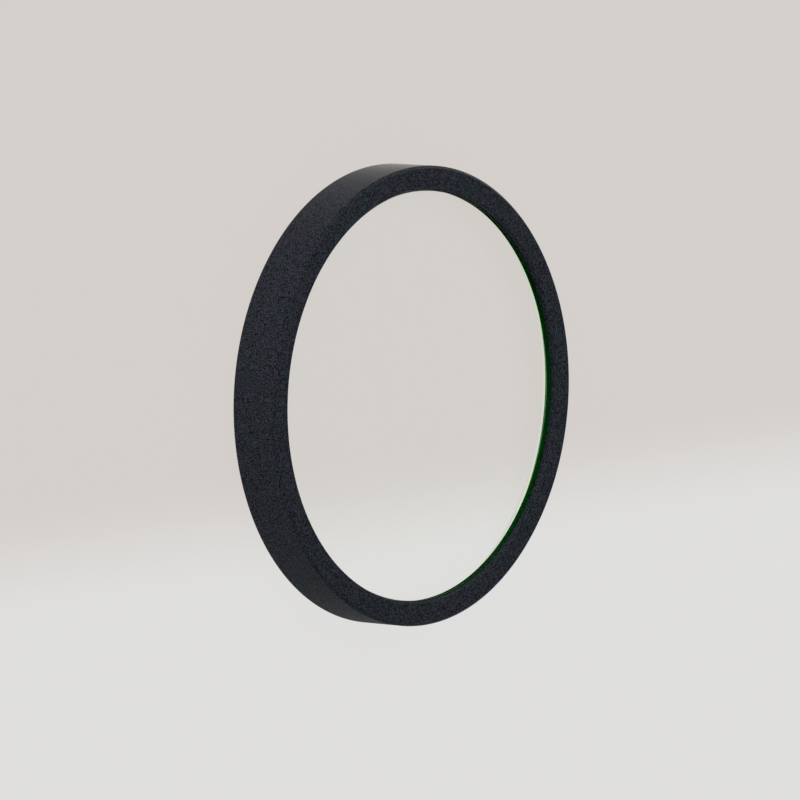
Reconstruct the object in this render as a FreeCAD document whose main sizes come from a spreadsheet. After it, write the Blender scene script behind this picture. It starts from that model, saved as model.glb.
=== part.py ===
import FreeCAD, Part
import os
import Sketcher

# Ultraviolet infrared cut filter: a black ring turned from aluminium, a stepped disc of coated
# glass whose boss fills the lip at the ring's front, and a split ring of spring wire behind it.
# The filter lies on its rear rim with its front face up. Z is the optical axis, the rear rim
# is at Z = 0, and all lengths are in millimetres.

DRIVING_SIZES = [
    ("rim_diameter", 50.0, "outside of the ring, the part that a holder grips"),
    ("wall_thickness", 0.95, "ring wall beside the glass"),
    ("lip_thickness", 2.0, "front lip, measured along the axis"),
    ("front_chamfer", 0.3, "outer edge of the front face"),
    ("rear_chamfer", 0.15, "outer edge of the rear rim"),
    ("lip_edge_break", 0.2, "inner edge of the front face"),
    ("lip_foot_break", 0.1, "inner edge of the lip's underside, clear of the glass's corner"),
    ("seat_corner_radius", 0.15, "nose radius left where the seat meets the lip"),
    ("rear_lead_in", 0.1, "inner edge of the rear rim, which guides the glass in"),
    ("rear_land", 0.24, "ring left between the wire groove and the rear rim"),
    ("glass_clearance", 0.05, "gap round the glass, beside the seat wall and in the lip"),
    ("glass_ledge", 1.6, "width of the lip that the glass rests on"),
    ("glass_recess", 0.65, "from the front face down to the glass"),
    ("glass_thickness", 4.6, "coated glass disc with its boss"),
    ("glass_bevel", 0.2, "ground bevel on both edges of the disc"),
    ("boss_bevel", 0.1, "ground bevel on the front edge of the boss"),
    ("wire_diameter", 0.4, "section of the retaining wire"),
    ("wire_play", 0.01, "gap between the wire and all that it seats on"),
    ("wire_gap", 3.0, "opening between the two ends of the wire"),
]

# The wire lies level with the rear face of the glass and bears on its 45 degree bevel, so the
# line from the wire's centre square to the bevel is one wire radius and one play long.
FITTED_SIZES = [
    ("rim_radius", "Sizes.rim_diameter / 2"),
    ("seat_radius", "rim_radius - Sizes.wall_thickness"),
    ("glass_radius", "seat_radius - Sizes.glass_clearance"),
    ("aperture_radius", "glass_radius - Sizes.glass_ledge"),
    ("boss_radius", "aperture_radius - Sizes.glass_clearance"),
    ("boss_height", "Sizes.lip_thickness - Sizes.glass_recess"),
    ("wire_reach", "Sizes.wire_diameter / 2 + Sizes.wire_play"),
    ("wire_ring_radius", "glass_radius - Sizes.glass_bevel + wire_reach * sqrt(2)"),
    ("groove_radius", "wire_ring_radius + wire_reach"),
    ("glass_rear_height", "Sizes.rear_land + wire_reach"),
    ("glass_front_height", "glass_rear_height + Sizes.glass_thickness"),
    ("seat_height", "glass_front_height - boss_height"),
    ("front_height", "seat_height + Sizes.lip_thickness"),
    ("wire_arc_angle", "360 - 360 * Sizes.wire_gap / (2 * pi * wire_ring_radius)"),
]

# Two places this close together are the same place.
SAME_PLACE = 1e-4

# A sketch's own origin point and level axis, as its constraints number them.
ORIGIN = (-1, 1)
LEVEL_AXIS = -1

doc = FreeCAD.newDocument("UvIrCutFilter")
sizes = doc.addObject("Spreadsheet::Sheet", "Sizes")
fits = doc.addObject("Spreadsheet::Sheet", "Fits")


def fill_sizes():
    """Write each driving dimension as a plain number with its own alias."""
    for row, (name, value, meaning) in enumerate(DRIVING_SIZES, 1):
        sizes.set("A%d" % row, name)
        sizes.set("B%d" % row, str(value))
        sizes.set("C%d" % row, meaning)
        sizes.setAlias("B%d" % row, name)
    doc.recompute()


def fill_fits():
    """Write what follows from the driving dimensions, as formulas."""
    for row, (name, formula) in enumerate(FITTED_SIZES, 1):
        fits.set("A%d" % row, name)
        fits.set("B%d" % row, "=" + formula)
        fits.setAlias("B%d" % row, name)
        doc.recompute()


def new_body(name):
    """Start one solid piece. Its label names the piece."""
    body = doc.addObject("PartDesign::Body", name)
    body.Label = name
    return body


def new_sketch(body, name, role):
    """Add a sketch on the body's own origin plane of the given role."""
    sketch = body.newObject("Sketcher::SketchObject", name)
    planes = [feature for feature in body.Origin.OriginFeatures if feature.Role == role]
    sketch.AttachmentSupport = (planes[0], [""])
    sketch.MapMode = "FlatFace"
    return sketch


def draw_outline(sketch, corners):
    """Draw a closed outline of level and upright lines through the corners, joined end to end."""
    count = len(corners)
    for index in range(count):
        start = FreeCAD.Vector(*corners[index], 0)
        end = FreeCAD.Vector(*corners[(index + 1) % count], 0)
        line = sketch.addGeometry(Part.LineSegment(start, end), False)
        level = abs(start.y - end.y) < SAME_PLACE
        sketch.addConstraint(Sketcher.Constraint("Horizontal" if level else "Vertical", line))
    for line in range(count):
        following = (line + 1) % count
        sketch.addConstraint(Sketcher.Constraint("Coincident", line, 2, following, 1))


def dimension(sketch, kind, name, places, formula):
    """Add a named dimension to a sketch and bind it to the sheets."""
    start = sketch.getPoint(*places[0])
    end = sketch.getPoint(*places[1])
    length = end.x - start.x if kind == "DistanceX" else end.y - start.y
    ends = places[0] + places[1]
    index = sketch.addConstraint(Sketcher.Constraint(kind, *ends, length))
    sketch.renameConstraint(index, name)
    sketch.setExpression("Constraints." + name, formula)


def rim_edge(shape, radius, height):
    """Name the circular edge of a turned shape that has this radius and height."""
    for number, edge in enumerate(shape.Edges, 1):
        if not isinstance(edge.Curve, Part.Circle):
            continue
        off_radius = abs(edge.Curve.Radius - radius)
        off_height = abs(edge.Curve.Center.z - height)
        if off_radius < SAME_PLACE and off_height < SAME_PLACE:
            return "Edge%d" % number
    raise ValueError("no edge of radius %.3f at height %.3f" % (radius, height))


def dress_edges(body, kind, name, places, formula):
    """Chamfer or fillet the edges at these (radius, height) places by a size from the sheet."""
    base = body.Tip
    edges = [rim_edge(base.Shape, radius, height) for radius, height in places]
    feature = body.newObject("PartDesign::" + kind, name)
    feature.Base = (base, edges)
    feature.setExpression("Size" if kind == "Chamfer" else "Radius", formula)
    body.Tip = feature
    doc.recompute()
    return feature


def filter_ring():
    """Turn the ring: blank with bore and seat, wire groove, then the edges."""
    body = new_body("filter_ring")
    section = new_sketch(body, "ring_section", "XZ_Plane")
    corners = [
        (fits.rim_radius, 0.0),
        (fits.rim_radius, fits.front_height),
        (fits.aperture_radius, fits.front_height),
        (fits.aperture_radius, fits.seat_height),
        (fits.seat_radius, fits.seat_height),
        (fits.seat_radius, 0.0),
    ]
    draw_outline(section, corners)
    rear_outer = (0, 1)
    front_inner = (2, 1)
    lip_rear_inner = (3, 1)
    seat_corner = (4, 1)
    rear_inner = (5, 1)
    section.addConstraint(Sketcher.Constraint("PointOnObject", *rear_outer, LEVEL_AXIS))
    dimension(section, "DistanceX", "rim", [ORIGIN, rear_outer], "Fits.rim_radius")
    dimension(section, "DistanceX", "wall", [rear_inner, rear_outer], "Sizes.wall_thickness")
    dimension(section, "DistanceX", "ledge", [lip_rear_inner, seat_corner],
              "Sizes.glass_ledge + Sizes.glass_clearance")
    dimension(section, "DistanceY", "seat", [rear_inner, seat_corner], "Fits.seat_height")
    dimension(section, "DistanceY", "lip", [lip_rear_inner, front_inner], "Sizes.lip_thickness")
    blank = body.newObject("PartDesign::Revolution", "turned_blank")
    blank.Profile = section
    blank.ReferenceAxis = (section, ["V_Axis"])
    blank.Angle = 360
    section.Visibility = False
    doc.recompute()

    slot = new_sketch(body, "groove_section", "XZ_Plane")
    groove_top = fits.glass_rear_height + fits.wire_reach
    corners = [
        (fits.glass_radius, sizes.rear_land),
        (fits.groove_radius, sizes.rear_land),
        (fits.groove_radius, groove_top),
        (fits.glass_radius, groove_top),
    ]
    draw_outline(slot, corners)
    slot_rear_inner = (0, 1)
    slot_rear_outer = (1, 1)
    slot_front_outer = (2, 1)
    dimension(slot, "DistanceY", "land", [ORIGIN, slot_rear_inner], "Sizes.rear_land")
    dimension(slot, "DistanceX", "start", [ORIGIN, slot_rear_inner], "Fits.glass_radius")
    dimension(slot, "DistanceX", "floor", [ORIGIN, slot_rear_outer], "Fits.groove_radius")
    dimension(slot, "DistanceY", "width", [slot_rear_outer, slot_front_outer],
              "2 * Fits.wire_reach")
    groove = body.newObject("PartDesign::Groove", "wire_groove")
    groove.Profile = slot
    groove.ReferenceAxis = (slot, ["V_Axis"])
    groove.Angle = 360
    slot.Visibility = False
    doc.recompute()

    front_rim = (fits.rim_radius, fits.front_height)
    rear_rim = (fits.rim_radius, 0)
    aperture = (fits.aperture_radius, fits.front_height)
    lip_foot = (fits.aperture_radius, fits.seat_height)
    seat_corner = (fits.seat_radius, fits.seat_height)
    rear_mouth = (fits.seat_radius, 0)
    dress_edges(body, "Chamfer", "front_edge", [front_rim], "Sizes.front_chamfer")
    dress_edges(body, "Chamfer", "rear_edge", [rear_rim], "Sizes.rear_chamfer")
    dress_edges(body, "Chamfer", "lip_edge", [aperture], "Sizes.lip_edge_break")
    dress_edges(body, "Chamfer", "lip_foot", [lip_foot], "Sizes.lip_foot_break")
    dress_edges(body, "Fillet", "seat_nose", [seat_corner], "Sizes.seat_corner_radius")
    dress_edges(body, "Chamfer", "rear_mouth", [rear_mouth], "Sizes.rear_lead_in")
    return body


def add_disc(body, name, radius_name, height, thickness):
    """Pad a round disc of this fitted radius on the axis, from a height, by a thickness."""
    outline = new_sketch(body, name + "_outline", "XY_Plane")
    outline.setExpression("AttachmentOffset.Base.z", height)
    centre = FreeCAD.Vector(0, 0, 0)
    upward = FreeCAD.Vector(0, 0, 1)
    radius = fits.getPropertyByName(radius_name)
    outline.addGeometry(Part.Circle(centre, upward, radius), False)
    outline.addConstraint(Sketcher.Constraint("Coincident", 0, 3, *ORIGIN))
    index = outline.addConstraint(Sketcher.Constraint("Radius", 0, radius))
    outline.renameConstraint(index, "edge")
    outline.setExpression("Constraints.edge", "Fits." + radius_name)
    disc = body.newObject("PartDesign::Pad", name)
    disc.Profile = outline
    disc.setExpression("Length", thickness)
    outline.Visibility = False
    doc.recompute()


def filter_glass():
    """Cut the disc to the seat with a boss that fills the lip, and grind a bevel on each edge."""
    body = new_body("filter_glass")
    add_disc(body, "disc", "glass_radius", "Fits.glass_rear_height",
             "Sizes.glass_thickness - Fits.boss_height")
    add_disc(body, "boss", "boss_radius", "Fits.seat_height", "Fits.boss_height")
    rear_edge = (fits.glass_radius, fits.glass_rear_height)
    ledge_edge = (fits.glass_radius, fits.seat_height)
    front_edge = (fits.boss_radius, fits.glass_front_height)
    dress_edges(body, "Chamfer", "bevels", [rear_edge, ledge_edge], "Sizes.glass_bevel")
    dress_edges(body, "Chamfer", "boss_edge", [front_edge], "Sizes.boss_bevel")
    return body


def retaining_wire():
    """Bend the spring wire round the groove, with its opening on the -Y side."""
    body = new_body("retaining_wire")
    section = new_sketch(body, "wire_section", "YZ_Plane")
    centre = FreeCAD.Vector(fits.wire_ring_radius, fits.glass_rear_height, 0)
    normal = FreeCAD.Vector(0, 0, 1)
    wire_radius = sizes.wire_diameter / 2
    section.addGeometry(Part.Circle(centre, normal, wire_radius), False)
    wire_centre = (0, 3)
    dimension(section, "DistanceX", "ring", [ORIGIN, wire_centre], "Fits.wire_ring_radius")
    dimension(section, "DistanceY", "height", [ORIGIN, wire_centre], "Fits.glass_rear_height")
    index = section.addConstraint(Sketcher.Constraint("Radius", 0, wire_radius))
    section.renameConstraint(index, "wire")
    section.setExpression("Constraints.wire", "Sizes.wire_diameter / 2")
    bend = body.newObject("PartDesign::Revolution", "bend")
    bend.Profile = section
    bend.ReferenceAxis = (section, ["V_Axis"])
    bend.Midplane = True
    bend.setExpression("Angle", "Fits.wire_arc_angle")
    section.Visibility = False
    doc.recompute()
    return body


def check_document():
    """Stop if any object failed to compute."""
    for item in doc.Objects:
        if "Invalid" in item.State or "Error" in item.State:
            raise RuntimeError(item.Name + " failed to compute")


def export(pieces):
    """Write each piece to its own file, named by its label."""
    os.makedirs("parts", exist_ok=True)
    for piece in pieces:
        if piece.Shape.isNull() or not piece.Shape.isValid():
            raise RuntimeError(piece.Label + " has no valid shape")
    for piece in pieces:
        piece.Shape.exportStep("parts/" + piece.Label + ".step")
        volume = piece.Shape.Volume
        print("%s: %d solid, %.2f mm3" % (piece.Label, len(piece.Shape.Solids), volume))


fill_sizes()
fill_fits()
pieces = [filter_ring(), filter_glass(), retaining_wire()]
doc.recompute()
check_document()
export(pieces)
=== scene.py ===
import math

import bpy
from mathutils import Matrix, Vector


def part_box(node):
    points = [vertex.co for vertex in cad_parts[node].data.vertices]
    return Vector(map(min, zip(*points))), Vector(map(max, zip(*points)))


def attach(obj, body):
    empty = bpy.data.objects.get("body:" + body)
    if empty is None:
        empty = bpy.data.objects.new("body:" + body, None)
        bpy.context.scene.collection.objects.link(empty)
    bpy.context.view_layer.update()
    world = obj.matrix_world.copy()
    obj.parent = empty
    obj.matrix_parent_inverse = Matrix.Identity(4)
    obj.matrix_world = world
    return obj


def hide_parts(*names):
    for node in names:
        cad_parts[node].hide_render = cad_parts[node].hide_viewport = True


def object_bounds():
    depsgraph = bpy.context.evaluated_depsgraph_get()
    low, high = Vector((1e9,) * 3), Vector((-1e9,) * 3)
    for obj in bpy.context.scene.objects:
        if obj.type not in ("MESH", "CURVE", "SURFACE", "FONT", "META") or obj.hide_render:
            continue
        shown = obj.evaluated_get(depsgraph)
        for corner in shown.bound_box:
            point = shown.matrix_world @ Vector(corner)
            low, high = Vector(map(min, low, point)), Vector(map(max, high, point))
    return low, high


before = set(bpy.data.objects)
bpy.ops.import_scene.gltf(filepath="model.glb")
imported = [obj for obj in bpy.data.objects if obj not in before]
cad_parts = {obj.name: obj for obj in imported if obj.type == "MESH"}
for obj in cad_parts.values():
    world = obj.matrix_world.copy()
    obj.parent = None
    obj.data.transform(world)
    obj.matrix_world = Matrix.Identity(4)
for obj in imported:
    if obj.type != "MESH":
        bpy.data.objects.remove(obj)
cad_low, cad_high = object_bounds()

# The black ring is one turning of aluminium, bead blasted and then anodised matte black.
# Its section is carried once round the optical axis: rim, front face, thick lip with the
# clear opening, seat for the glass, groove for the wire and rear rim.
MM = 0.001
FRONT_CHAMFER = 0.3 * MM
REAR_CHAMFER = 0.15 * MM
LIP_THICKNESS = 2.0 * MM
LIP_EDGE_BREAK = 0.2 * MM
LIP_FOOT_BREAK = 0.1 * MM
REAR_LEAD_IN = 0.1 * MM
SEAT_CORNER_RADIUS = 0.15 * MM
GLASS_CLEARANCE = 0.05 * MM
GLASS_LEDGE = 1.6 * MM
WIRE_PLAY = 0.01 * MM
BLASTED_EDGE_ROUND = 0.02 * MM
EDGE_ROUND_STEPS = 3
FLAT_BEND = math.radians(5)
STEPS_AROUND = 384
NOISE_SPAN = (0.3, 0.7)
GRAIN_PER_METRE = 8000.0
GRAIN_DETAIL = 2.0
GRAIN_FINENESS = 0.6
GRAIN_SPAN = (0.41, 0.59)
PALEST_GRAIN = 2.3
RELIEF_STRENGTH = 0.35
RELIEF_DEPTH = 0.02 * MM
CAST_PER_METRE = 450.0
CAST_SPAN = (0.35, 0.65)
GREENISH_BLACK = (0.0158, 0.0209, 0.0250, 1)
BLUISH_BLACK = (0.0190, 0.0200, 0.0268, 1)
BLACK_REFLECTION = 0.055
SMOOTH_SIDE = -25 * MM
MATTE_SIDE = -15 * MM
SMOOTH_ROUGHNESS = 0.18
MATTE_ROUGHNESS = 0.62
ROUGHNESS_SPREAD = 0.05

ring_low, ring_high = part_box("filter_ring")
glass_low, glass_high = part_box("filter_glass")
wire_low, wire_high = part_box("retaining_wire")
rim_radius = ring_high.x
glass_radius = glass_high.x
seat_radius = glass_radius + GLASS_CLEARANCE
aperture_radius = glass_radius - GLASS_LEDGE
groove_radius = wire_high.x + WIRE_PLAY
seat_height = ring_high.z - LIP_THICKNESS


def quarter_turn(centre, radius, steps):
    """Points of the nose radius from the lip's underside to the seat wall, as (radius, height)."""
    points = []
    for step in range(steps + 1):
        angle = math.radians(90 - 90 * step / steps)
        across = centre[0] + radius * math.cos(angle)
        points.append((across, centre[1] + radius * math.sin(angle)))
    return points


def section_object(name, corners):
    """A closed outline in the XZ plane, one edge from each corner to the next."""
    points = [(radius, 0, height) for radius, height in corners]
    edges = [(index, (index + 1) % len(points)) for index in range(len(points))]
    mesh = bpy.data.meshes.new(name)
    mesh.from_pydata(points, edges, [])
    piece = bpy.data.objects.new(name, mesh)
    bpy.context.scene.collection.objects.link(piece)
    return piece


def add_node(tree, kind, inputs=None, **settings):
    """Add a node with its settings, then set or link each input, named or numbered."""
    node = tree.nodes.new(kind)
    for name, value in settings.items():
        setattr(node, name, value)
    for key, value in (inputs or {}).items():
        if isinstance(value, bpy.types.NodeSocket):
            tree.links.new(value, node.inputs[key])
        else:
            node.inputs[key].default_value = value
    return node


def geometry_tree(name, sockets):
    """A geometry tree with these named inputs, its input sockets and their identifiers."""
    tree = bpy.data.node_groups.new(name, "GeometryNodeTree")
    identifiers = {}
    for socket_name, kind in {"Geometry": "Geometry", **sockets}.items():
        socket = tree.interface.new_socket(
            socket_name, in_out="INPUT", socket_type="NodeSocket" + kind)
        identifiers[socket_name] = socket.identifier
    tree.interface.new_socket("Geometry", in_out="OUTPUT", socket_type="NodeSocketGeometry")
    given = tree.nodes.new("NodeGroupInput").outputs
    return tree, given, identifiers


def shade_round(tree, geometry):
    """Shade smoothly round the axis and keep every edge of the section crisp."""
    bend = add_node(tree, "GeometryNodeInputMeshEdgeAngle").outputs["Unsigned Angle"]
    flat = add_node(tree, "ShaderNodeMath", {0: bend, 1: FLAT_BEND}, operation="LESS_THAN")
    edges = add_node(tree, "GeometryNodeSetShadeSmooth", {
        "Geometry": geometry, "Shade Smooth": flat.outputs[0]}, domain="EDGE")
    return edges.outputs[0]


def turning_tree():
    """Round a section's corners a little and carry it once round the Z axis."""
    tree, given, identifiers = geometry_tree("turned_section", {
        "Turning Radius": "Float",
        "Edge Round": "Float",
        "Round Steps": "Int",
        "Steps Around": "Int",
        "Finish": "Material",
    })
    outline = add_node(tree, "GeometryNodeMeshToCurve", {"Mesh": given["Geometry"]})
    inward = add_node(tree, "ShaderNodeVectorMath", {
        "Vector": (-1, 0, 0), "Scale": given["Turning Radius"]}, operation="SCALE")
    laid = add_node(tree, "GeometryNodeTransform", {
        "Geometry": outline.outputs[0],
        "Translation": inward.outputs[0],
        "Rotation": (math.pi / 2, 0, 0)})
    rounded = add_node(tree, "GeometryNodeFilletCurve", {
        "Curve": laid.outputs[0],
        "Count": given["Round Steps"],
        "Radius": given["Edge Round"],
        "Limit Radius": True}, mode="POLY")
    circle = add_node(tree, "GeometryNodeCurvePrimitiveCircle", {
        "Resolution": given["Steps Around"], "Radius": given["Turning Radius"]})
    turned = add_node(tree, "GeometryNodeCurveToMesh", {
        "Curve": circle.outputs[0], "Profile Curve": rounded.outputs[0]})
    outward = add_node(tree, "GeometryNodeFlipFaces", {"Mesh": turned.outputs[0]})
    solid = add_node(tree, "GeometryNodeRealizeInstances", {"Geometry": outward.outputs[0]})
    finished = add_node(tree, "GeometryNodeSetMaterial", {
        "Geometry": shade_round(tree, solid.outputs[0]), "Material": given["Finish"]})
    add_node(tree, "NodeGroupOutput", {0: finished.outputs[0]})
    return tree, identifiers


def run_tree(piece, tree_and_inputs, values):
    """Run a tree on a piece with these values and keep the result as its plain mesh."""
    tree, identifiers = tree_and_inputs
    modifier = piece.modifiers.new(tree.name, "NODES")
    modifier.node_group = tree
    for name, value in values.items():
        modifier[identifiers[name]] = value
    evaluated = piece.evaluated_get(bpy.context.evaluated_depsgraph_get())
    mesh = bpy.data.meshes.new_from_object(evaluated)
    piece.modifiers.clear()
    piece.data = mesh
    mesh.name = piece.name
    for slot in reversed(range(len(mesh.materials))):
        if mesh.materials[slot] is None:
            mesh.materials.pop(index=slot)


def new_material(name):
    """A node material without any node yet, and its tree."""
    material = bpy.data.materials.new(name)
    material.use_nodes = True
    material.node_tree.nodes.clear()
    return material, material.node_tree


def finish_surface(tree, inputs):
    """Give a material its one surface, with these inputs."""
    surface = add_node(tree, "ShaderNodeBsdfPrincipled", inputs)
    add_node(tree, "ShaderNodeOutputMaterial", {"Surface": surface.outputs[0]})


def map_range(tree, value, start, end, low=0.0, high=1.0, **settings):
    """Carry a value from start..end over to low..high, and stop it at both ends."""
    return add_node(tree, "ShaderNodeMapRange", {
        "Value": value,
        "From Min": start,
        "From Max": end,
        "To Min": low,
        "To Max": high}, **settings).outputs[0]


def mix_colours(tree, share, first, second):
    """Blend two colours: the first where the share is 0, the second where it is 1."""
    return add_node(tree, "ShaderNodeMix", {
        "Factor": share, "A": first, "B": second}, data_type="RGBA").outputs["Result"]


def blasted_black():
    """Matte black anodising over a fine bead blast, cool in cast and smoother on its -X side."""
    material, tree = new_material("black_anodised_blasted")
    place = add_node(tree, "ShaderNodeTexCoord").outputs["Object"]
    grain = add_node(tree, "ShaderNodeTexNoise", {
        "Vector": place,
        "Scale": GRAIN_PER_METRE,
        "Detail": GRAIN_DETAIL,
        "Roughness": GRAIN_FINENESS}).outputs["Fac"]
    cast = add_node(tree, "ShaderNodeTexNoise", {
        "Vector": place, "Scale": CAST_PER_METRE, "Detail": 0.0}).outputs["Fac"]
    tone = mix_colours(tree, map_range(tree, cast, *CAST_SPAN), GREENISH_BLACK, BLUISH_BLACK)
    shade = map_range(tree, grain, *GRAIN_SPAN, 0.0, PALEST_GRAIN)
    grained = add_node(tree, "ShaderNodeVectorMath", {
        "Vector": tone, "Scale": shade}, operation="SCALE")
    across = add_node(tree, "ShaderNodeSeparateXYZ", {0: place}).outputs["X"]
    side = map_range(tree, across, SMOOTH_SIDE, MATTE_SIDE, SMOOTH_ROUGHNESS, MATTE_ROUGHNESS)
    spread = map_range(tree, grain, *NOISE_SPAN, ROUGHNESS_SPREAD, -ROUGHNESS_SPREAD)
    roughness = add_node(tree, "ShaderNodeMath", {0: side, 1: spread}, operation="ADD")
    relief = add_node(tree, "ShaderNodeBump", {
        "Height": grain, "Strength": RELIEF_STRENGTH, "Distance": RELIEF_DEPTH})
    finish_surface(tree, {
        "Base Color": grained.outputs[0],
        "Roughness": roughness.outputs[0],
        "Specular IOR Level": BLACK_REFLECTION,
        "Normal": relief.outputs[0]})
    return material


seat_nose_centre = (seat_radius - SEAT_CORNER_RADIUS, seat_height - SEAT_CORNER_RADIUS)
ring_corners = [
    (rim_radius - REAR_CHAMFER, ring_low.z),
    (rim_radius, ring_low.z + REAR_CHAMFER),
    (rim_radius, ring_high.z - FRONT_CHAMFER),
    (rim_radius - FRONT_CHAMFER, ring_high.z),
    (aperture_radius + LIP_EDGE_BREAK, ring_high.z),
    (aperture_radius, ring_high.z - LIP_EDGE_BREAK),
    (aperture_radius, seat_height + LIP_FOOT_BREAK),
    (aperture_radius + LIP_FOOT_BREAK, seat_height),
    *quarter_turn(seat_nose_centre, SEAT_CORNER_RADIUS, EDGE_ROUND_STEPS),
    (seat_radius, wire_high.z + WIRE_PLAY),
    (groove_radius, wire_high.z + WIRE_PLAY),
    (groove_radius, wire_low.z - WIRE_PLAY),
    (seat_radius, wire_low.z - WIRE_PLAY),
    (seat_radius, ring_low.z + REAR_LEAD_IN),
    (seat_radius + REAR_LEAD_IN, ring_low.z),
]
ring = section_object("ring_turned", ring_corners)
run_tree(ring, turning_tree(), {
    "Turning Radius": seat_radius,
    "Edge Round": BLASTED_EDGE_ROUND,
    "Round Steps": EDGE_ROUND_STEPS,
    "Steps Around": STEPS_AROUND,
    "Finish": blasted_black(),
})
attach(ring, "root")
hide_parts("filter_ring")

# The glass is one clear stepped disc, polished flat and coated on both faces. Its boss fills
# the lip from behind, its disc lies against the lip's underside and the wire holds it there.
# The edges are ground and inked, and a narrow ground margin runs round the clear rear face.
GLASS_BEVEL = 0.2 * MM
GROUND_MARGIN = 0.3 * MM
BOSS_BEVEL = 0.1 * MM
BARE_FOOT = 0.06 * MM
GLASS_IOR = 1.52
COATING_IOR = 1.14
COATING_GREEN = (0.22, 1.0, 0.30, 1)
# The three glow colours below are painted glow: emission that makes the ground margin, the rear
# bevel and the bare foot shine pale or green, though none of them is a lamp.
MARGIN_PAINTED_GLOW = (0.57, 0.545, 0.52, 1)
BEVEL_PAINTED_GLOW = (0.56, 0.60, 0.51, 1)
FOOT_PAINTED_GLOW = (0.10, 0.44, 0.12, 1)
NO_GLOW = (0, 0, 0, 1)
CLEAR = (1, 1, 1, 1)
GROUND_TINT = (0.22, 0.30, 0.20, 1)
GROUND_ROUGHNESS = 0.7
GROUND_CLEARNESS = 0.1
BLACK_INK = (0.003, 0.003, 0.003, 1)
GREEN_INK = (0.002, 0.038, 0.005, 1)
INK_ROUGHNESS = 0.9
MERGE_DISTANCE = 0.001 * MM


def coated_glass():
    """Clear glass whose coating mirrors a little green light. Lamps shine straight through."""
    material, tree = new_material("coated_glass")
    bend = add_node(tree, "ShaderNodeBsdfRefraction", {
        "Color": CLEAR, "Roughness": 0.0, "IOR": GLASS_IOR})
    mirror = add_node(tree, "ShaderNodeBsdfGlossy", {
        "Color": COATING_GREEN, "Roughness": 0.0})
    share = add_node(tree, "ShaderNodeFresnel", {"IOR": COATING_IOR})
    pane = add_node(tree, "ShaderNodeMixShader", {
        0: share.outputs[0], 1: bend.outputs[0], 2: mirror.outputs[0]})
    path = add_node(tree, "ShaderNodeLightPath")
    open_way = add_node(tree, "ShaderNodeBsdfTransparent", {"Color": CLEAR})
    lit = add_node(tree, "ShaderNodeMixShader", {
        0: path.outputs["Is Shadow Ray"], 1: pane.outputs[0], 2: open_way.outputs[0]})
    add_node(tree, "ShaderNodeOutputMaterial", {"Surface": lit.outputs[0]})
    return material


def ground_glass(name, glow):
    """Finely ground glass with a painted glow: its emission stands in for the light the ground
    surface scatters, though it is no lamp.
    """
    material, tree = new_material(name)
    finish_surface(tree, {
        "Base Color": GROUND_TINT,
        "Roughness": GROUND_ROUGHNESS,
        "IOR": GLASS_IOR,
        "Transmission Weight": GROUND_CLEARNESS,
        "Emission Color": glow,
        "Emission Strength": 1.0})
    return material


def inked_edge(name, ink):
    """Matte ink on ground glass, which stops stray light at the edge."""
    material, tree = new_material(name)
    finish_surface(tree, {
        "Base Color": ink,
        "Roughness": INK_ROUGHNESS,
        "Specular IOR Level": 0.0})
    return material


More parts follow.
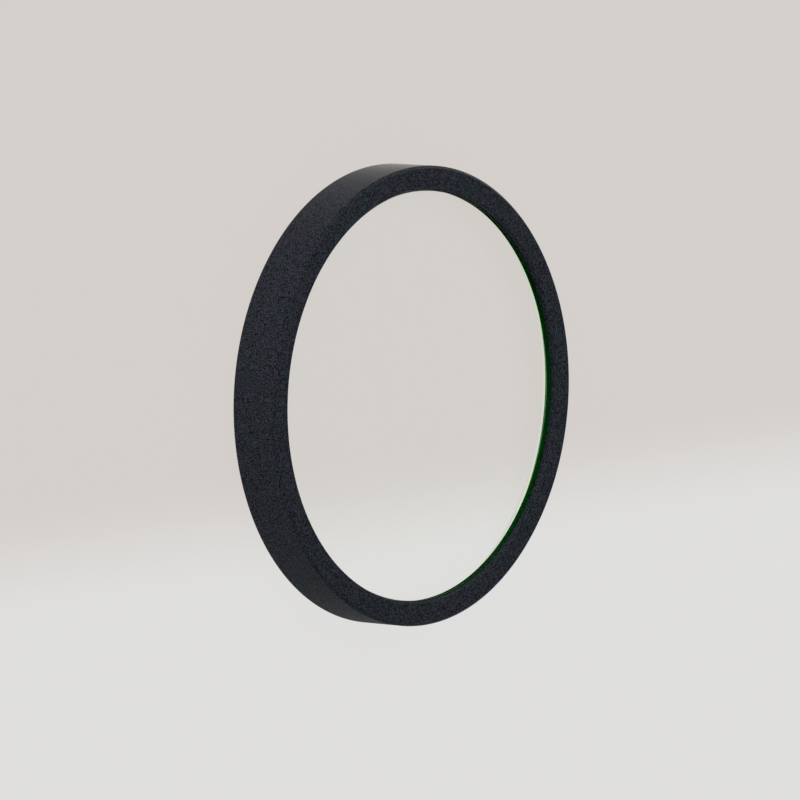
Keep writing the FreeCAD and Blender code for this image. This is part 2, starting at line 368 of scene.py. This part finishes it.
def stepped_disc_tree():
    """A disc with a boss: polished faces, ground margin and bevels, inked edges, bare foot."""
    tree, given, identifiers = geometry_tree("stepped_disc", {
        "Radius": "Float",
        "Boss Radius": "Float",
        "Rear Height": "Float",
        "Step Height": "Float",
        "Front Height": "Float",
        "Bevel": "Float",
        "Margin": "Float",
        "Boss Bevel": "Float",
        "Bare Foot": "Float",
        "Steps Around": "Int",
        "Polished": "Material",
        "Ground Margin": "Material",
        "Ground Bevel": "Material",
        "Ground Boss": "Material",
        "Ground Foot": "Material",
        "Black Ink": "Material",
        "Green Ink": "Material",
    })

    def calculate(operation, first, second):
        sides = {0: first, 1: second}
        return add_node(tree, "ShaderNodeMath", sides, operation=operation).outputs[0]

    def place_side(side, height, finish):
        lift = add_node(tree, "ShaderNodeCombineXYZ", {"Z": height})
        placed = add_node(tree, "GeometryNodeTransform", {
            "Geometry": side, "Translation": lift.outputs[0]})
        finished = add_node(tree, "GeometryNodeSetMaterial", {
            "Geometry": placed.outputs[0], "Material": given[finish]})
        tree.links.new(finished.outputs[0], join.inputs[0])

    def face(radius, height, finish, turned_over):
        disc = add_node(tree, "GeometryNodeMeshCircle", {
            "Vertices": given["Steps Around"], "Radius": radius}, fill_type="NGON")
        if turned_over:
            disc = add_node(tree, "GeometryNodeFlipFaces", {"Mesh": disc.outputs[0]})
        place_side(disc.outputs[0], height, finish)

    def band(low, high, low_radius, high_radius, finish):
        wall = add_node(tree, "GeometryNodeMeshCone", {
            "Vertices": given["Steps Around"],
            "Radius Top": high_radius,
            "Radius Bottom": low_radius,
            "Depth": calculate("SUBTRACT", high, low)}, fill_type="NONE")
        place_side(wall.outputs[0], low, finish)

    join = add_node(tree, "GeometryNodeJoinGeometry")
    rear = given["Rear Height"]
    step = given["Step Height"]
    front = given["Front Height"]
    face_radius = calculate("SUBTRACT", given["Radius"], given["Bevel"])
    margin_radius = calculate("SUBTRACT", face_radius, given["Margin"])
    boss_face_radius = calculate("SUBTRACT", given["Boss Radius"], given["Boss Bevel"])
    edge_low = calculate("ADD", rear, given["Bevel"])
    edge_high = calculate("SUBTRACT", step, given["Bevel"])
    boss_high = calculate("SUBTRACT", front, given["Boss Bevel"])
    ink_low = calculate("ADD", step, given["Bare Foot"])
    face(margin_radius, rear, "Polished", True)
    band(rear, rear, margin_radius, face_radius, "Ground Margin")
    band(rear, edge_low, face_radius, given["Radius"], "Ground Bevel")
    band(edge_low, edge_high, given["Radius"], given["Radius"], "Black Ink")
    band(edge_high, step, given["Radius"], face_radius, "Black Ink")
    band(step, step, face_radius, given["Boss Radius"], "Black Ink")
    band(step, ink_low, given["Boss Radius"], given["Boss Radius"], "Ground Foot")
    band(ink_low, boss_high, given["Boss Radius"], given["Boss Radius"], "Green Ink")
    band(boss_high, front, given["Boss Radius"], boss_face_radius, "Ground Boss")
    face(boss_face_radius, front, "Polished", False)
    merge = add_node(tree, "GeometryNodeMergeByDistance", {
        "Geometry": join.outputs[0], "Distance": MERGE_DISTANCE})
    solid = add_node(tree, "GeometryNodeRealizeInstances", {"Geometry": merge.outputs[0]})
    add_node(tree, "NodeGroupOutput", {0: shade_round(tree, solid.outputs[0])})
    return tree, identifiers


glass = section_object("glass_disc", [])
run_tree(glass, stepped_disc_tree(), {
    "Radius": glass_radius,
    "Boss Radius": aperture_radius - GLASS_CLEARANCE,
    "Rear Height": glass_low.z,
    "Step Height": seat_height,
    "Front Height": glass_high.z,
    "Bevel": GLASS_BEVEL,
    "Margin": GROUND_MARGIN,
    "Boss Bevel": BOSS_BEVEL,
    "Bare Foot": BARE_FOOT,
    "Steps Around": STEPS_AROUND,
    "Polished": coated_glass(),
    "Ground Margin": ground_glass("ground_margin_painted_glow", MARGIN_PAINTED_GLOW),
    "Ground Bevel": ground_glass("ground_bevel_painted_glow", BEVEL_PAINTED_GLOW),
    "Ground Boss": ground_glass("ground_boss", NO_GLOW),
    "Ground Foot": ground_glass("ground_foot_painted_glow", FOOT_PAINTED_GLOW),
    "Black Ink": inked_edge("black_ink", BLACK_INK),
    "Green Ink": inked_edge("green_ink", GREEN_INK),
})
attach(glass, "root")
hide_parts("filter_glass")

# The retaining wire is round spring wire, blackened and bent to an open ring. It snaps into
# the groove behind the glass, with its opening towards -Y, and bears on the rear bevel.
WIRE_GAP = 3.0 * MM
WIRE_SECTION_STEPS = 20
WIRE_BLACK = (0.03, 0.03, 0.033, 1)
WIRE_METALLIC = 0.6
WIRE_NOISE_PER_METRE = 2600.0
WIRE_NOISE_DETAIL = 3.0
WIRE_SMOOTHEST = 0.3
WIRE_ROUGHEST = 0.45


def blackened_wire():
    """Drawn spring steel with a thin black finish that keeps a little sheen."""
    material, tree = new_material("blackened_spring_wire")
    place = add_node(tree, "ShaderNodeTexCoord").outputs["Object"]
    noise = add_node(tree, "ShaderNodeTexNoise", {
        "Vector": place, "Scale": WIRE_NOISE_PER_METRE, "Detail": WIRE_NOISE_DETAIL})
    finish_surface(tree, {
        "Base Color": WIRE_BLACK,
        "Metallic": WIRE_METALLIC,
        "Roughness": map_range(
            tree, noise.outputs["Fac"], *NOISE_SPAN, WIRE_SMOOTHEST, WIRE_ROUGHEST)})
    return material


def wire_tree():
    """An open ring of round wire with flat cut ends."""
    tree, given, identifiers = geometry_tree("open_wire_ring", {
        "Ring Radius": "Float",
        "Wire Radius": "Float",
        "Height": "Float",
        "Start Angle": "Float",
        "Sweep Angle": "Float",
        "Steps Around": "Int",
        "Section Steps": "Int",
        "Finish": "Material",
    })
    path = add_node(tree, "GeometryNodeCurveArc", {
        "Resolution": given["Steps Around"],
        "Radius": given["Ring Radius"],
        "Start Angle": given["Start Angle"],
        "Sweep Angle": given["Sweep Angle"]})
    section = add_node(tree, "GeometryNodeCurvePrimitiveCircle", {
        "Resolution": given["Section Steps"], "Radius": given["Wire Radius"]})
    bent = add_node(tree, "GeometryNodeCurveToMesh", {
        "Curve": path.outputs[0], "Profile Curve": section.outputs[0], "Fill Caps": True})
    lift = add_node(tree, "ShaderNodeCombineXYZ", {"Z": given["Height"]})
    placed = add_node(tree, "GeometryNodeTransform", {
        "Geometry": bent.outputs[0], "Translation": lift.outputs[0]})
    solid = add_node(tree, "GeometryNodeRealizeInstances", {"Geometry": placed.outputs[0]})
    finished = add_node(tree, "GeometryNodeSetMaterial", {
        "Geometry": solid.outputs[0], "Material": given["Finish"]})
    add_node(tree, "NodeGroupOutput", {0: finished.outputs[0]})
    return tree, identifiers


wire_radius = (wire_high.z - wire_low.z) / 2
wire_ring_radius = wire_high.x - wire_radius
gap_angle = WIRE_GAP / wire_ring_radius
wire = section_object("wire_ring", [])
run_tree(wire, wire_tree(), {
    "Ring Radius": wire_ring_radius,
    "Wire Radius": wire_radius,
    "Height": wire_low.z + wire_radius,
    "Start Angle": -math.pi / 2 + gap_angle / 2,
    "Sweep Angle": 2 * math.pi - gap_angle,
    "Steps Around": STEPS_AROUND,
    "Section Steps": WIRE_SECTION_STEPS,
    "Finish": blackened_wire(),
})
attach(wire, "root")
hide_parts("retaining_wire")

# The floor is a plain pale sheet, lit from below like a light table, so that the clear glass
# shows it as evenly as the space around the ring. It is a little paler towards +X.
FLOOR_SIZE = 3.0
FLOOR_COLOUR = (0.03, 0.03, 0.03, 1)
WARM_GLOW = (0.640, 0.606, 0.580, 1)
PALE_GLOW = (0.722, 0.716, 0.702, 1)
PALE_SIDE = (0.9906, 0.1367, 0)
PALE_START = 6.0 * MM
PALE_END = 19.0 * MM


def pale_floor():
    """Matte pale sheet with a soft glow of its own, which changes softly from warm to pale."""
    material, tree = new_material("pale_floor")
    place = add_node(tree, "ShaderNodeTexCoord").outputs["Object"]
    across = add_node(tree, "ShaderNodeVectorMath", {
        0: place, 1: PALE_SIDE}, operation="DOT_PRODUCT")
    share = map_range(
        tree, across.outputs["Value"], PALE_START, PALE_END, interpolation_type="SMOOTHSTEP")
    finish_surface(tree, {
        "Base Color": FLOOR_COLOUR,
        "Roughness": 1.0,
        "Specular IOR Level": 0.0,
        "Emission Color": mix_colours(tree, share, WARM_GLOW, PALE_GLOW),
        "Emission Strength": 1.0})
    return material


half = FLOOR_SIZE / 2
floor_mesh = bpy.data.meshes.new("floor")
floor_corners = [(-half, -half, 0), (half, -half, 0), (half, half, 0), (-half, half, 0)]
floor_mesh.from_pydata(floor_corners, [], [(0, 1, 2, 3)])
floor_mesh.materials.append(pale_floor())
floor = bpy.data.objects.new("floor", floor_mesh)
bpy.context.scene.collection.objects.link(floor)

# The light is that of a plain pale studio: an even cool sky with a paler area beyond the ring
# on its left, one soft box over the ring and a low one before it on its left.
SKY_EVEN = (0.43, 0.43, 0.45, 1)
SKY_PALE = (1.10, 1.08, 1.06, 1)
PALE_AREA = (-0.64, 0.77, 0.0)
PALE_AREA_EDGE = 0.8
PALE_AREA_CORE = 1.0
world = bpy.data.worlds.new("studio")
bpy.context.scene.world = world
world.use_nodes = True
sky_tree = world.node_tree
sky_tree.nodes.clear()
direction = add_node(sky_tree, "ShaderNodeTexCoord").outputs["Generated"]
nearness = add_node(sky_tree, "ShaderNodeVectorMath", {
    0: direction, 1: PALE_AREA}, operation="DOT_PRODUCT")
share = map_range(
    sky_tree, nearness.outputs["Value"], PALE_AREA_EDGE, PALE_AREA_CORE,
    interpolation_type="SMOOTHSTEP")
background = add_node(sky_tree, "ShaderNodeBackground", {
    "Color": mix_colours(sky_tree, share, SKY_EVEN, SKY_PALE)})
add_node(sky_tree, "ShaderNodeOutputWorld", {"Surface": background.outputs[0]})


def soft_box(name, place, target, size, power, colour):
    """A square area lamp that looks at the target."""
    lamp = bpy.data.lights.new(name, "AREA")
    lamp.shape = "SQUARE"
    lamp.size = size
    lamp.energy = power
    lamp.color = colour
    box = bpy.data.objects.new(name, lamp)
    box.location = place
    aim = Vector(target) - Vector(place)
    box.rotation_euler = aim.to_track_quat("-Z", "Y").to_euler()
    bpy.context.scene.collection.objects.link(box)


ring_centre = (cad_low + cad_high) / 2
soft_box(
    "top_soft_box", place=(-0.08, 0.04, 0.20), target=ring_centre,
    size=0.12, power=0.12, colour=(1.0, 1.0, 1.0))
soft_box(
    "front_soft_box", place=(-0.42, -0.48, 0.06), target=ring_centre,
    size=0.35, power=2.8, colour=(1.0, 0.97, 1.03))

# The camera stands where the photograph's did: 50 degrees off the optical axis, with a long
# lens, and turned so that the ring's far side is at the picture's right.
PICTURE_SIZE = 800
FOCAL_LENGTH_PIXELS = 10000
FACE_CENTRE_PIXEL = (423.83, 395.75)
HALF_PIXEL = 0.5
SENSOR_WIDTH = 36.0
CAMERA_DISTANCE = 43.34 * rim_radius
CAMERA_ELEVATION = math.radians(40.12)
CAMERA_ROLL = math.radians(94.29)

forward = Vector((0, math.cos(CAMERA_ELEVATION), -math.sin(CAMERA_ELEVATION)))
level_up = Vector((0, math.sin(CAMERA_ELEVATION), math.cos(CAMERA_ELEVATION)))
level_right = Vector((1, 0, 0))
right = math.cos(CAMERA_ROLL) * level_right + math.sin(CAMERA_ROLL) * level_up
up = math.cos(CAMERA_ROLL) * level_up - math.sin(CAMERA_ROLL) * level_right
across = (FACE_CENTRE_PIXEL[0] + HALF_PIXEL - PICTURE_SIZE / 2) / FOCAL_LENGTH_PIXELS
down = (FACE_CENTRE_PIXEL[1] + HALF_PIXEL - PICTURE_SIZE / 2) / FOCAL_LENGTH_PIXELS
face_centre = Vector((ring_centre.x, ring_centre.y, cad_high.z))
sight = forward + across * right - down * up
camera_place = face_centre - sight * CAMERA_DISTANCE
camera_data = bpy.data.cameras.new("camera")
camera_data.sensor_width = SENSOR_WIDTH
camera_data.lens = FOCAL_LENGTH_PIXELS / PICTURE_SIZE * SENSOR_WIDTH
camera = bpy.data.objects.new("camera", camera_data)
camera_axes = Matrix((right, up, -forward)).transposed().to_4x4()
camera.matrix_world = Matrix.Translation(camera_place) @ camera_axes
bpy.context.scene.collection.objects.link(camera)
bpy.context.scene.camera = camera
bpy.context.scene.view_settings.view_transform = "Standard"
